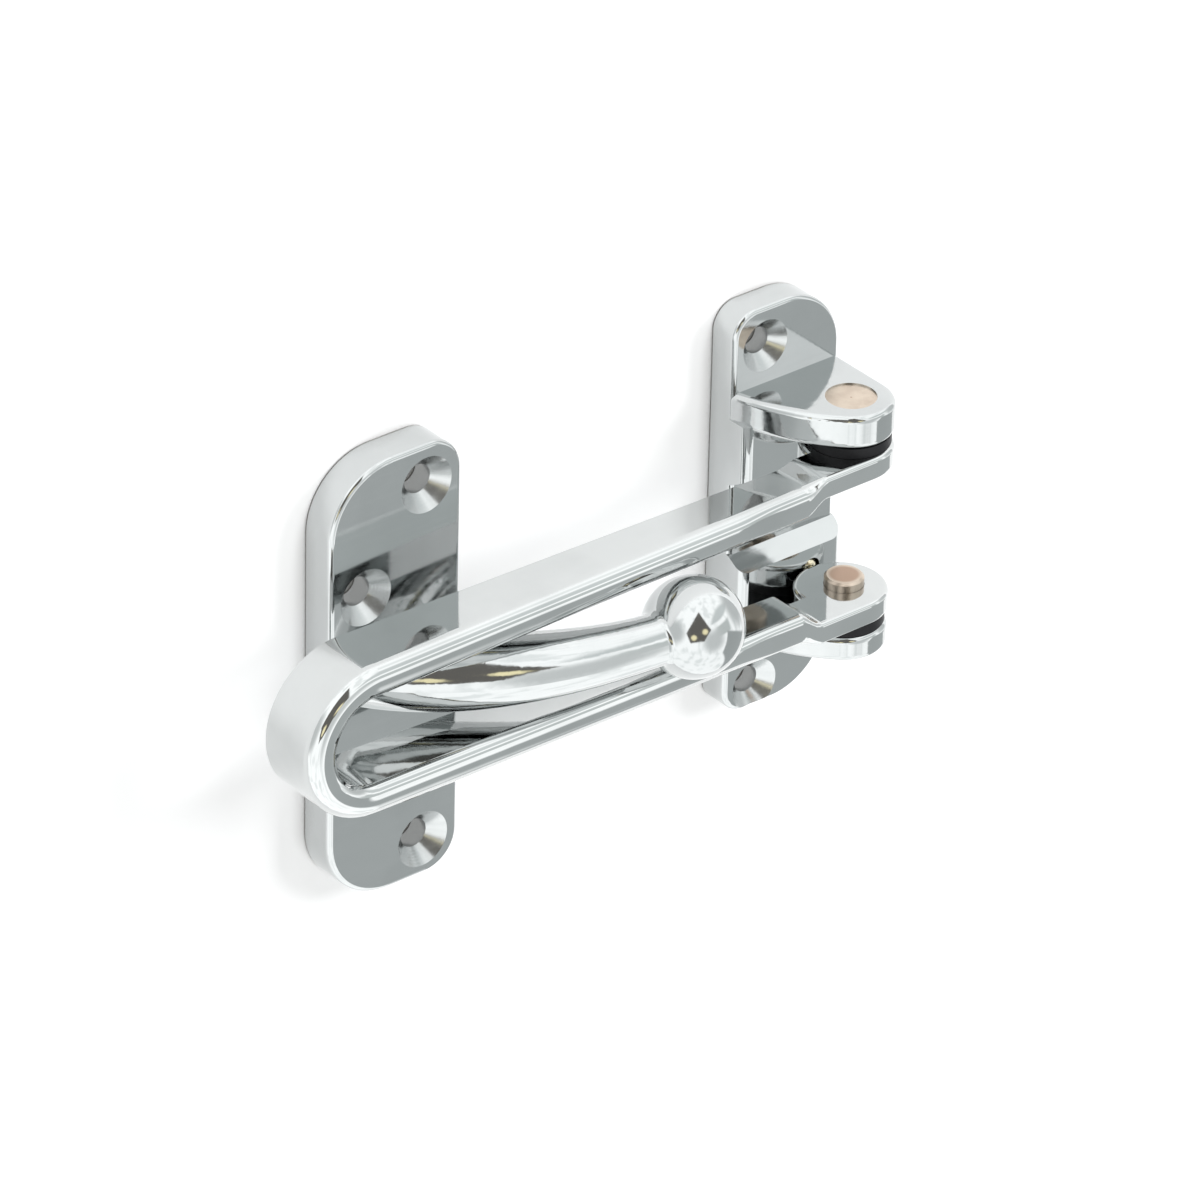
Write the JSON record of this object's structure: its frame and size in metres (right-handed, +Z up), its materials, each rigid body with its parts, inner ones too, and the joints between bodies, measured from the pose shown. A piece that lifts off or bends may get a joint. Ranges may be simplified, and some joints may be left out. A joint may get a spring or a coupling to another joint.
{
  "type": "door guard",
  "caption": "Swing-bar door guard: a screw-fixed hinge plate carrying a swinging loop, and a screw-fixed plate with a curved arm and ball that the loop holds.",
  "frame": {"origin": "middle of the hinge plate's back face", "axes": "+X along the wall from the ball plate to the hinge plate, -Y out from the wall, +Z up along the hinge pins"},
  "size_m": [0.1256, 0.0367, 0.0826],
  "materials": {
    "plated_hinge": "polished chrome plate on a casting",
    "plated_loop": "polished chrome plate on a casting",
    "plated_keeper": "polished chrome plate on a casting",
    "pin_metal": "bare turned metal, copper coloured",
    "washer_black": "moulded black nylon",
    "detent_brass": "polished brass",
    "spring_steel": "plain spring steel"
  },
  "bodies": {
    "hinge": {"hinge_plate": "plated_hinge", "upper_pin": "pin_metal", "lower_pin": "pin_metal", "upper_washer": "washer_black", "lower_washer": "washer_black", "detent_ball": "detent_brass", "detent_spring": "spring_steel"},
    "loop": {"swing_loop": "plated_loop"},
    "keeper": {"ball_plate": "plated_keeper"}
  },
  "joints": [
    {"name": "loop_swing", "type": "hinge", "parent": "hinge", "child": "loop", "pos_m": [0.004, -0.0175, 0], "axis": [0, 0, 1], "range_deg": [0, 180]},
    {"name": "keeper_travel", "type": "slide", "parent": "hinge", "child": "keeper", "axis": [1, 0, 0], "range_m": [-0.012, 0.036]}
  ]
}
